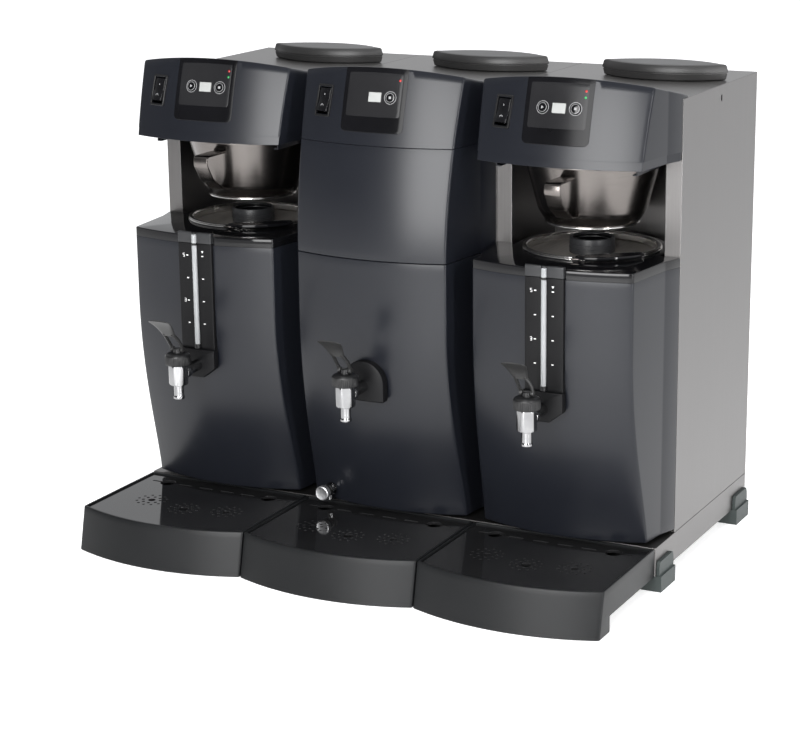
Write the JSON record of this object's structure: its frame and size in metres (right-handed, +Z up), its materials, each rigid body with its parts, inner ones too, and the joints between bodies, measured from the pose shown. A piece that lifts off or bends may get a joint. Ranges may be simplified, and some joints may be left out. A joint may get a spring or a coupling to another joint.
{
  "type": "counter-top bulk coffee brewer",
  "caption": "Wide counter-top bulk coffee brewer with a removable tap container and filter basket on each side, a hot-water column with tap between, and curved drip trays in front.",
  "frame": {"origin": "centre of the footprint of the bounding box, on the counter", "axes": "+X to the user's right along the three stations, +Y towards the back, +Z up"},
  "size_m": [0.88, 0.651, 0.7426],
  "materials": {
    "stainless": "fine vertical brushing",
    "polished_steel": "polished",
    "tap_chrome": "bright chrome",
    "cover_grey": "satin dark blue grey",
    "gloss_black": "gloss",
    "black_plastic": "fine satin",
    "tray_grey": "satin charcoal",
    "grid_dark": "dark polished plate",
    "foot_grey": "dark grey green",
    "lid_grey": "fine grain",
    "clear_tube": "clear",
    "board_green": "circuit board",
    "brass_part": "machined"
  },
  "bodies": {
    "machine": {"base_frame": "stainless", "feet": "foot_grey", "left_cabinet": "stainless", "centre_cabinet": "stainless", "right_cabinet": "stainless", "rear_panels": "stainless", "left_hood": "cover_grey", "centre_hood": "cover_grey", "right_hood": "cover_grey", "hood_bases": "cover_grey", "fascias": "gloss_black", "control_boards": "board_green", "column_upper_cover": "cover_grey", "column_lower_cover": "cover_grey", "centre_tap_body": "tap_chrome", "tap_block": "black_plastic", "drain_valve": "polished_steel", "boilers": "stainless", "water_lines": "stainless", "water_inlet": "brass_part", "cable_gland": "black_plastic"},
    "left_boiler_lid": {"left_boiler_lid": "lid_grey"},
    "left_rocker": {"left_rocker": "gloss_black"},
    "left_start_key": {"left_start_key": "gloss_black"},
    "left_stop_key": {"left_stop_key": "gloss_black"},
    "left_tray": {"left_drip_tray": "tray_grey"},
    "left_grid": {"left_drip_grid": "grid_dark"},
    "centre_boiler_lid": {"centre_boiler_lid": "lid_grey"},
    "centre_rocker": {"centre_rocker": "gloss_black"},
    "centre_key": {"centre_key": "gloss_black"},
    "centre_tray": {"centre_drip_tray": "tray_grey"},
    "centre_grid": {"centre_drip_grid": "grid_dark"},
    "right_boiler_lid": {"right_boiler_lid": "lid_grey"},
    "right_rocker": {"right_rocker": "gloss_black"},
    "right_start_key": {"right_start_key": "gloss_black"},
    "right_stop_key": {"right_stop_key": "gloss_black"},
    "right_tray": {"right_drip_tray": "tray_grey"},
    "right_grid": {"right_drip_grid": "grid_dark"},
    "left_basket": {"left_filter_basket": "polished_steel", "left_basket_handle": "polished_steel"},
    "left_container": {"left_container": "cover_grey", "left_deck": "gloss_black", "left_pot": "polished_steel", "left_gauge_plate": "black_plastic", "left_gauge_tube": "clear_tube", "left_tap_body": "tap_chrome"},
    "left_pot_lid": {"left_pot_lid": "polished_steel"},
    "right_basket": {"right_filter_basket": "polished_steel", "right_basket_handle": "polished_steel"},
    "right_container": {"right_container": "cover_grey", "right_deck": "gloss_black", "right_pot": "polished_steel", "right_gauge_plate": "black_plastic", "right_gauge_tube": "clear_tube", "right_tap_body": "tap_chrome"},
    "right_pot_lid": {"right_pot_lid": "polished_steel"},
    "left_lever": {"left_tap_lever": "black_plastic"},
    "centre_lever": {"centre_tap_lever": "black_plastic"},
    "right_lever": {"right_tap_lever": "black_plastic"},
    "drain_knob": {"drain_knob": "polished_steel"}
  },
  "joints": [
    {"name": "left_boiler_lid_lift", "type": "slide", "parent": "machine", "child": "left_boiler_lid", "axis": [0, 0, 1], "range_m": [0, 0.06]},
    {"name": "left_rocker_tilt", "type": "hinge", "parent": "machine", "child": "left_rocker", "pos_m": [-0.37282, -0.10816, 0.68866], "axis": [0.9698, -0.244, 0], "range_deg": [-14, 0]},
    {"name": "left_start_key_press", "type": "slide", "parent": "machine", "child": "left_start_key", "axis": [0.0605, 0.9595, -0.2752], "range_m": [0, 0.002], "stiffness_N_per_m": 300, "springref_m": -0.002},
    {"name": "left_stop_key_press", "type": "slide", "parent": "machine", "child": "left_stop_key", "axis": [-0.0742, 0.9585, -0.2752], "range_m": [0, 0.002], "stiffness_N_per_m": 300, "springref_m": -0.002},
    {"name": "left_tray_pull", "type": "slide", "parent": "machine", "child": "left_tray", "axis": [0, -1, 0], "range_m": [0, 0.34]},
    {"name": "left_grid_lift", "type": "slide", "parent": "left_tray", "child": "left_grid", "axis": [0, 0, 1], "range_m": [0, 0.005]},
    {"name": "centre_boiler_lid_lift", "type": "slide", "parent": "machine", "child": "centre_boiler_lid", "axis": [0, 0, 1], "range_m": [0, 0.06]},
    {"name": "centre_rocker_tilt", "type": "hinge", "parent": "machine", "child": "centre_rocker", "pos_m": [-0.08482, -0.10816, 0.68866], "axis": [0.9698, -0.244, 0], "range_deg": [-14, 0]},
    {"name": "centre_key_press", "type": "slide", "parent": "machine", "child": "centre_key", "axis": [-0.0742, 0.9585, -0.2752], "range_m": [0, 0.002], "stiffness_N_per_m": 300, "springref_m": -0.002},
    {"name": "centre_tray_pull", "type": "slide", "parent": "machine", "child": "centre_tray", "axis": [0, -1, 0], "range_m": [0, 0.34]},
    {"name": "centre_grid_lift", "type": "slide", "parent": "centre_tray", "child": "centre_grid", "axis": [0, 0, 1], "range_m": [0, 0.005]},
    {"name": "right_boiler_lid_lift", "type": "slide", "parent": "machine", "child": "right_boiler_lid", "axis": [0, 0, 1], "range_m": [0, 0.06]},
    {"name": "right_rocker_tilt", "type": "hinge", "parent": "machine", "child": "right_rocker", "pos_m": [0.20318, -0.10816, 0.68866], "axis": [0.9698, -0.244, 0], "range_deg": [-14, 0]},
    {"name": "right_start_key_press", "type": "slide", "parent": "machine", "child": "right_start_key", "axis": [0.0605, 0.9595, -0.2752], "range_m": [0, 0.002], "stiffness_N_per_m": 300, "springref_m": -0.002},
    {"name": "right_stop_key_press", "type": "slide", "parent": "machine", "child": "right_stop_key", "axis": [-0.0742, 0.9585, -0.2752], "range_m": [0, 0.002], "stiffness_N_per_m": 300, "springref_m": -0.002},
    {"name": "right_tray_pull", "type": "slide", "parent": "machine", "child": "right_tray", "axis": [0, -1, 0], "range_m": [0, 0.34]},
    {"name": "right_grid_lift", "type": "slide", "parent": "right_tray", "child": "right_grid", "axis": [0, 0, 1], "range_m": [0, 0.005]},
    {"name": "left_basket_pull", "type": "slide", "parent": "machine", "child": "left_basket", "axis": [0, -1, 0], "range_m": [0, 0.2]},
    {"name": "left_container_pull", "type": "slide", "parent": "machine", "child": "left_container", "axis": [0, -1, 0], "range_m": [0, 0.25]},
    {"name": "left_pot_lid_lift", "type": "slide", "parent": "left_container", "child": "left_pot_lid", "axis": [0, 0, 1], "range_m": [0, 0.012]},
    {"name": "right_basket_pull", "type": "slide", "parent": "machine", "child": "right_basket", "axis": [0, -1, 0], "range_m": [0, 0.2]},
    {"name": "right_container_pull", "type": "slide", "parent": "machine", "child": "right_container", "axis": [0, -1, 0], "range_m": [0, 0.25]},
    {"name": "right_pot_lid_lift", "type": "slide", "parent": "right_container", "child": "right_pot_lid", "axis": [0, 0, 1], "range_m": [0, 0.012]},
    {"name": "left_lever_tilt", "type": "hinge", "parent": "left_container", "child": "left_lever", "pos_m": [-0.288, -0.22104, 0.3175], "axis": [1, 0, 0], "range_deg": [0, 35], "stiffness_Nm_per_rad": 0.4, "springref_deg": -20.05},
    {"name": "centre_lever_tilt", "type": "hinge", "parent": "machine", "child": "centre_lever", "pos_m": [0, -0.22104, 0.3175], "axis": [1, 0, 0], "range_deg": [0, 35], "stiffness_Nm_per_rad": 0.4, "springref_deg": -20.05},
    {"name": "right_lever_tilt", "type": "hinge", "parent": "right_container", "child": "right_lever", "pos_m": [0.288, -0.22104, 0.3175], "axis": [1, 0, 0], "range_deg": [0, 35], "stiffness_Nm_per_rad": 0.4, "springref_deg": -20.05},
    {"name": "drain_knob_turn", "type": "hinge", "parent": "machine", "child": "drain_knob", "pos_m": [-0.091, -0.12404, 0.092], "axis": [0, -1, 0], "range_deg": [0, 90]}
  ]
}
